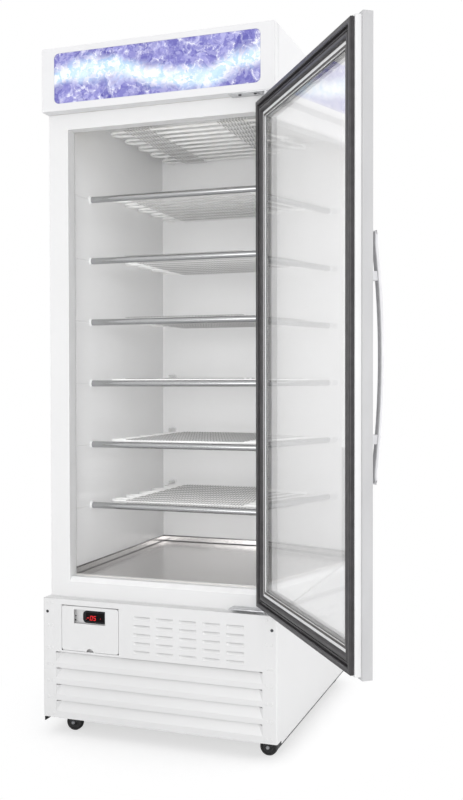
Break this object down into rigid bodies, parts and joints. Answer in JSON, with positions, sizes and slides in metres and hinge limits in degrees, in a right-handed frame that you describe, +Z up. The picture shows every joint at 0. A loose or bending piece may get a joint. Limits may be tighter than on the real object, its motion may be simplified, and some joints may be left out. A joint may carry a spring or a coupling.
{
  "type": "ice merchandiser freezer",
  "caption": "Upright white freezer with a hinged glass door standing open, wire-and-tube cooling shelves, a lit sign canopy, a louvred base and casters",
  "frame": {"origin": "on the floor under the middle of the cabinet's footprint", "axes": "+X to the user's right, the hinge side; +Y from the user's side into the cabinet; +Z up"},
  "size_m": [1.1048, 1.3422, 2],
  "materials": {
    "white_steel": "semi-gloss white paint on sheet steel",
    "liner_white": "smooth white liner sheet",
    "base_white": "semi-gloss white paint on the base panels",
    "strip_gray": "smooth light gray moulding",
    "stainless_pan": "satin stainless sheet",
    "stainless_rail": "polished stainless tube",
    "coil_white": "white coated steel tube and wire",
    "fitting_white": "white moulded plastic",
    "pipe_white": "white coated pipe",
    "foam": "rigid foamed insulation, fine closed cells",
    "canopy_white": "semi-gloss white paint on sheet steel",
    "sign_blue": "translucent panel lit from behind",
    "lamp_glow": "frosted lamp tube",
    "door_gray": "smooth light gray profile",
    "door_white": "smooth white profile",
    "gasket_gray": "soft matt extruded seal",
    "glass": "clear flat glass",
    "spacer_metal": "fine matt spacer",
    "handle_gray": "smooth light gray moulding",
    "hinge_metal": "light gray coated plate",
    "flap_white": "smooth white moulding",
    "case_black": "fine matt black moulding",
    "lens_dark": "smooth dark filter",
    "key_gray": "soft touch keys",
    "frame_dark": "dark coated folded steel",
    "fin_metal": "thin plate fins",
    "galvanised": "zinc coated sheet",
    "compressor_black": "gloss black paint",
    "fan_black": "matt black moulding",
    "tray_gray": "matt gray tray",
    "wheel_black": "matt black tread"
  },
  "bodies": {
    "cabinet": {"chassis_frame": "frame_dark", "front_posts": "base_white", "louvre_panel": "base_white", "slat_grille": "base_white", "side_skirts": "base_white", "rear_cover": "galvanised", "condenser": "fin_metal", "fan_shroud": "galvanised", "fan_motor": "frame_dark", "compressor": "compressor_black", "drain_pan": "tray_gray", "outer_shell": "white_steel", "foam_core": "foam", "inner_liner": "liner_white", "face_frame": "white_steel", "breaker_strip": "strip_gray", "floor_pan": "stainless_pan", "canopy_housing": "canopy_white", "sign_panel": "sign_blue", "lamp_tube": "lamp_glow", "lamp_holders": "fitting_white", "shelf_rails": "stainless_rail", "wall_fittings": "fitting_white", "refrigerant_pipes": "pipe_white", "evaporator_1": "coil_white", "evaporator_2": "coil_white", "evaporator_3": "coil_white", "evaporator_4": "coil_white", "evaporator_5": "coil_white", "evaporator_6": "coil_white", "evaporator_7": "coil_white", "hinge_brackets": "hinge_metal", "controller_case": "case_black", "control_plate": "base_white", "display_lens": "lens_dark", "caster_plates": "galvanised", "fixed_casters": "galvanised"},
    "door": {"door_frame": "door_gray", "door_inner_frame": "door_white", "door_gasket": "gasket_gray", "glass_outer": "glass", "glass_inner": "glass", "glass_spacer": "spacer_metal", "handle_bar": "handle_gray", "handle_posts": "handle_gray"},
    "flap": {"control_flap": "flap_white"},
    "key_a": {"key_1": "key_gray"},
    "key_b": {"key_2": "key_gray"},
    "key_c": {"key_3": "key_gray"},
    "fan": {"fan_rotor": "fan_black"},
    "front_left_fork": {"caster_fork_1": "galvanised"},
    "front_right_fork": {"caster_fork_2": "galvanised"},
    "front_left_wheel": {"caster_wheel_1": "wheel_black"},
    "front_right_wheel": {"caster_wheel_2": "wheel_black"},
    "rear_left_wheel": {"caster_wheel_3": "wheel_black"},
    "rear_right_wheel": {"caster_wheel_4": "wheel_black"},
    "front_left_pedal": {"brake_pedal_1": "galvanised"},
    "front_right_pedal": {"brake_pedal_2": "galvanised"}
  },
  "joints": [
    {"name": "door_hinge", "type": "hinge", "parent": "cabinet", "child": "door", "pos_m": [0.327, -0.391, 1.1], "axis": [0, 0, 1], "range_deg": [-125.4, 0]},
    {"name": "flap_hinge", "type": "hinge", "parent": "cabinet", "child": "flap", "pos_m": [-0.20625, -0.3964, 0.379], "axis": [-1, 0, 0], "range_deg": [0, 95]},
    {"name": "key_a_slide", "type": "slide", "parent": "cabinet", "child": "key_a", "axis": [0, 1, 0], "range_m": [0, 0.0015], "stiffness_N_per_m": 200},
    {"name": "key_b_slide", "type": "slide", "parent": "cabinet", "child": "key_b", "axis": [0, 1, 0], "range_m": [0, 0.0015], "stiffness_N_per_m": 200},
    {"name": "key_c_slide", "type": "slide", "parent": "cabinet", "child": "key_c", "axis": [0, 1, 0], "range_m": [0, 0.0015], "stiffness_N_per_m": 200},
    {"name": "fan_shaft", "type": "hinge", "parent": "cabinet", "child": "fan", "pos_m": [0.105, -0.2468, 0.1965], "axis": [0, 1, 0], "continuous": true},
    {"name": "front_left_swivel", "type": "hinge", "parent": "cabinet", "child": "front_left_fork", "pos_m": [-0.302, -0.345, 0.06], "axis": [0, 0, 1], "continuous": true},
    {"name": "front_left_axle", "type": "hinge", "parent": "front_left_fork", "child": "front_left_wheel", "pos_m": [-0.284, -0.345, 0.025], "axis": [0, 1, 0], "continuous": true},
    {"name": "front_left_brake", "type": "hinge", "parent": "front_left_fork", "child": "front_left_pedal", "pos_m": [-0.2625, -0.345, 0.0455], "axis": [0, 1, 0], "range_deg": [0, 12], "stiffness_Nm_per_rad": 0.5},
    {"name": "rear_left_axle", "type": "hinge", "parent": "cabinet", "child": "rear_left_wheel", "pos_m": [-0.284, 0.34, 0.025], "axis": [0, 1, 0], "continuous": true},
    {"name": "front_right_swivel", "type": "hinge", "parent": "cabinet", "child": "front_right_fork", "pos_m": [0.302, -0.345, 0.06], "axis": [0, 0, 1], "continuous": true},
    {"name": "front_right_axle", "type": "hinge", "parent": "front_right_fork", "child": "front_right_wheel", "pos_m": [0.32, -0.345, 0.025], "axis": [0, 1, 0], "continuous": true},
    {"name": "front_right_brake", "type": "hinge", "parent": "front_right_fork", "child": "front_right_pedal", "pos_m": [0.3415, -0.345, 0.0455], "axis": [0, 1, 0], "range_deg": [0, 12], "stiffness_Nm_per_rad": 0.5},
    {"name": "rear_right_axle", "type": "hinge", "parent": "cabinet", "child": "rear_right_wheel", "pos_m": [0.32, 0.34, 0.025], "axis": [0, 1, 0], "continuous": true}
  ]
}
